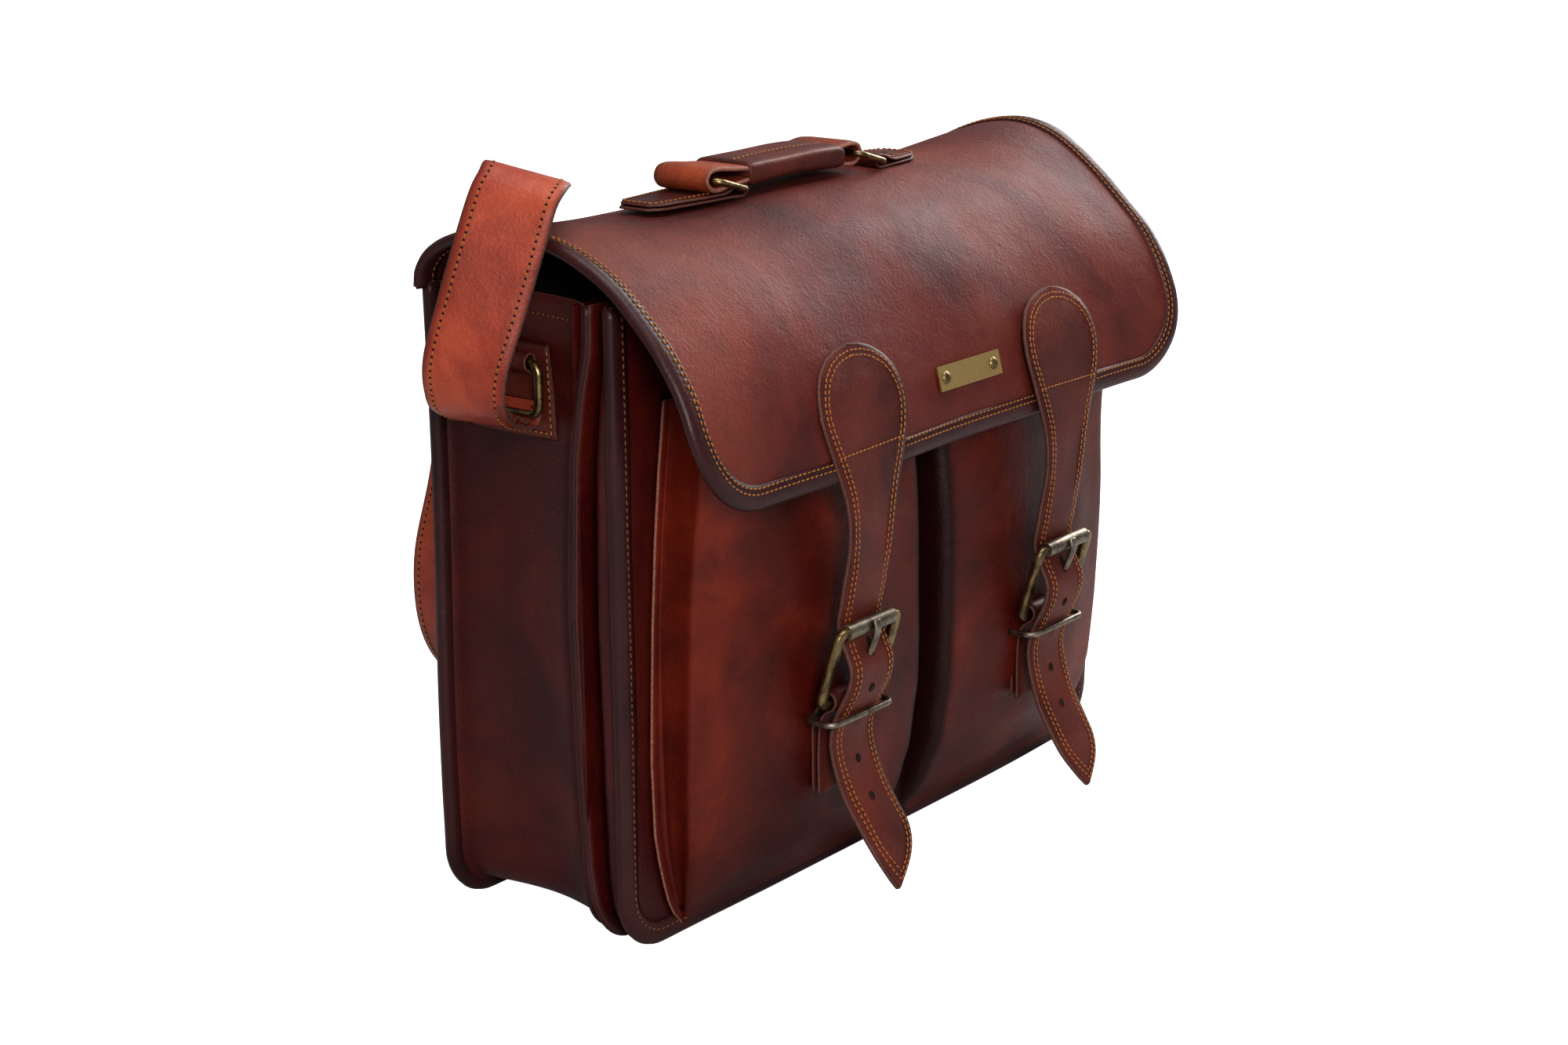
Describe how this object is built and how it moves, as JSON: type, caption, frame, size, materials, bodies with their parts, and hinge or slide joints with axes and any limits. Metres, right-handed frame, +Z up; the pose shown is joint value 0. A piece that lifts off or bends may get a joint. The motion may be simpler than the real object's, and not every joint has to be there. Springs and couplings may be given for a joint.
{
  "type": "satchel bag",
  "caption": "Leather satchel with a full flap, buckled straps, front pockets, pleated side gussets, ring-mounted top handle and a long shoulder strap.",
  "frame": {"origin": "centre of the part's box on the floor it stands on", "axes": "+Z up, -Y towards the front pockets and buckles, +X towards the wearer's left-hand side panel (right in a front view)"},
  "size_m": [0.4825, 0.2273, 0.366],
  "materials": {
    "leather_panel": "satin oxblood brown leather",
    "leather_binding": "smooth dark plum-brown leather",
    "leather_gusset": "satin dark oxblood leather",
    "leather_pocket": "glossy warm red-brown leather",
    "leather_flap": "mottled chestnut leather, soft sheen",
    "leather_strap": "satin chestnut leather",
    "leather_tan": "orange tan leather",
    "lining_cloth": "dark woven lining",
    "antique_brass": "dark antique brass",
    "pewter": "worn grey-brown plating",
    "light_brass": "satin brass"
  },
  "bodies": {
    "bag_body": {"back_panel": "leather_panel", "front_panel": "leather_panel", "back_binding": "leather_binding", "front_binding": "leather_binding", "rear_gusset": "leather_gusset", "front_gusset": "leather_gusset", "divider_panel": "leather_gusset", "lining_rear": "lining_cloth", "lining_front": "lining_cloth", "pocket_left": "leather_pocket", "pocket_right": "leather_pocket", "chape_left": "leather_strap", "chape_right": "leather_strap", "chape_studs": "antique_brass", "ring_patch_left": "leather_gusset", "ring_patch_right": "leather_gusset", "shoulder_strap": "leather_tan"},
    "flap": {"flap": "leather_flap", "flap_binding": "leather_binding", "flap_strap_left": "leather_strap", "flap_strap_right": "leather_strap", "name_plate": "light_brass", "plate_rivets": "antique_brass", "handle_tab_left": "leather_strap", "handle_tab_right": "leather_strap", "tab_rivets": "antique_brass"},
    "handle": {"handle_strap": "leather_pocket", "handle_wrap": "leather_strap"},
    "handle_ring_left": {"handle_ring_left": "antique_brass"},
    "side_ring_left": {"side_ring_left": "antique_brass"},
    "buckle_frame_left": {"buckle_frame_left": "antique_brass"},
    "buckle_roller_left": {"buckle_roller_left": "pewter"},
    "buckle_prong_left": {"buckle_prong_left": "pewter"},
    "strap_keeper_left": {"strap_keeper_left": "pewter"},
    "handle_ring_right": {"handle_ring_right": "antique_brass"},
    "side_ring_right": {"side_ring_right": "antique_brass"},
    "buckle_frame_right": {"buckle_frame_right": "antique_brass"},
    "buckle_roller_right": {"buckle_roller_right": "pewter"},
    "buckle_prong_right": {"buckle_prong_right": "pewter"},
    "strap_keeper_right": {"strap_keeper_right": "pewter"}
  },
  "joints": [
    {"name": "flap_hinge", "type": "hinge", "parent": "bag_body", "child": "flap", "pos_m": [0, 0.07255, 0.3036], "axis": [-1, 0, 0], "range_deg": [0, 110], "deforming": ["flap_strap_left", "flap_strap_right", "shoulder_strap"]},
    {"name": "handle_ring_left_swing", "type": "hinge", "parent": "flap", "child": "handle_ring_left", "pos_m": [-0.052, 0.02, 0.3325], "axis": [0, 1, 0], "range_deg": [0, 130]},
    {"name": "handle_pivot", "type": "hinge", "parent": "handle_ring_left", "child": "handle", "pos_m": [-0.074, 0.02, 0.339], "axis": [0, 1, 0], "range_deg": [-134, 4]},
    {"name": "handle_ring_right_swing", "type": "hinge", "parent": "flap", "child": "handle_ring_right", "pos_m": [0.06, 0.02, 0.3325], "axis": [0, 1, 0], "range_deg": [-4, 134]},
    {"name": "side_ring_left_swing", "type": "hinge", "parent": "bag_body", "child": "side_ring_left", "pos_m": [-0.199, 0.026, 0.274], "axis": [0, 1, 0], "range_deg": [0, 60]},
    {"name": "buckle_frame_left_swing", "type": "hinge", "parent": "bag_body", "child": "buckle_frame_left", "pos_m": [-0.085, -0.083, 0.107], "axis": [1, 0, 0], "range_deg": [0, 45]},
    {"name": "roller_left_spin", "type": "hinge", "parent": "buckle_frame_left", "child": "buckle_roller_left", "pos_m": [-0.085, -0.09399, 0.14296], "axis": [1, 0, 0], "continuous": true},
    {"name": "prong_left_swing", "type": "hinge", "parent": "buckle_frame_left", "child": "buckle_prong_left", "pos_m": [-0.085, -0.083, 0.107], "axis": [1, 0, 0], "range_deg": [0, 50]},
    {"name": "keeper_left_swing", "type": "hinge", "parent": "bag_body", "child": "strap_keeper_left", "pos_m": [-0.085, -0.0748, 0.0985], "axis": [1, 0, 0], "range_deg": [0, 50]},
    {"name": "side_ring_right_swing", "type": "hinge", "parent": "bag_body", "child": "side_ring_right", "pos_m": [0.199, 0.026, 0.274], "axis": [0, -1, 0], "range_deg": [0, 60]},
    {"name": "buckle_frame_right_swing", "type": "hinge", "parent": "bag_body", "child": "buckle_frame_right", "pos_m": [0.085, -0.083, 0.107], "axis": [1, 0, 0], "range_deg": [0, 45]},
    {"name": "roller_right_spin", "type": "hinge", "parent": "buckle_frame_right", "child": "buckle_roller_right", "pos_m": [0.085, -0.09399, 0.14296], "axis": [1, 0, 0], "continuous": true},
    {"name": "prong_right_swing", "type": "hinge", "parent": "buckle_frame_right", "child": "buckle_prong_right", "pos_m": [0.085, -0.083, 0.107], "axis": [1, 0, 0], "range_deg": [0, 50]},
    {"name": "keeper_right_swing", "type": "hinge", "parent": "bag_body", "child": "strap_keeper_right", "pos_m": [0.085, -0.0748, 0.0985], "axis": [1, 0, 0], "range_deg": [0, 50]}
  ],
  "couplings": [
    {"joint": "handle_pivot", "follows": "handle_ring_left_swing", "ratio": -1},
    {"joint": "handle_ring_right_swing", "follows": "handle_ring_left_swing", "ratio": 1}
  ]
}
